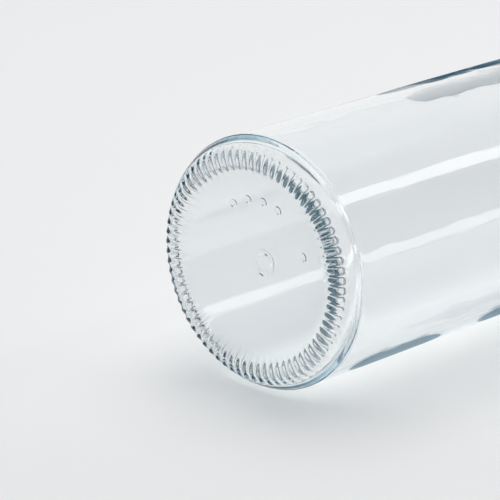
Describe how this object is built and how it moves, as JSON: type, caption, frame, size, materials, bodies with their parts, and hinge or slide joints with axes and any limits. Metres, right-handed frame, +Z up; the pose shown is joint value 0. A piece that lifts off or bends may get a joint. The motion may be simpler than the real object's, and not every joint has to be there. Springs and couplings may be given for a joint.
{
  "type": "swing-top soda bottle",
  "caption": "Clear glass soda bottle with a knurled base, a hollow punt and a wire swing-top closure with a porcelain stopper and rubber gasket.",
  "frame": {"origin": "centre of the knurled base, on the surface the bottle stands on", "axes": "+Z up the bottle through the mouth, +X along the closure's pivots, +Y towards the lever's thumb loop"},
  "size_m": [0.078, 0.078, 0.3186],
  "materials": {
    "flint_glass": "blown, fire-polished and clear",
    "steel_wire": "drawn and tin-plated",
    "porcelain": "glazed",
    "red_rubber": "moulded, matt"
  },
  "bodies": {
    "glass": {"bottle": "flint_glass", "neck_collar": "steel_wire"},
    "lever": {"lever": "steel_wire"},
    "bail": {"bail": "steel_wire"},
    "stopper": {"stopper": "porcelain", "gasket": "red_rubber"}
  },
  "joints": [
    {"name": "lever_swing", "type": "hinge", "parent": "glass", "child": "lever", "pos_m": [0, 0, 0.28285], "axis": [1, 0, 0], "range_deg": [0, 150]},
    {"name": "bail_swing", "type": "hinge", "parent": "lever", "child": "bail", "pos_m": [0, 0, 0.27385], "axis": [1, 0, 0], "range_deg": [-116, 0]},
    {"name": "stopper_tilt", "type": "hinge", "parent": "bail", "child": "stopper", "pos_m": [0, 0, 0.3121], "axis": [1, 0, 0], "range_deg": [-36, 0]}
  ],
  "couplings": [
    {"joint": "bail_swing", "follows": "lever_swing", "ratio": -0.76471},
    {"joint": "stopper_tilt", "follows": "lever_swing", "ratio": -0.23529}
  ]
}
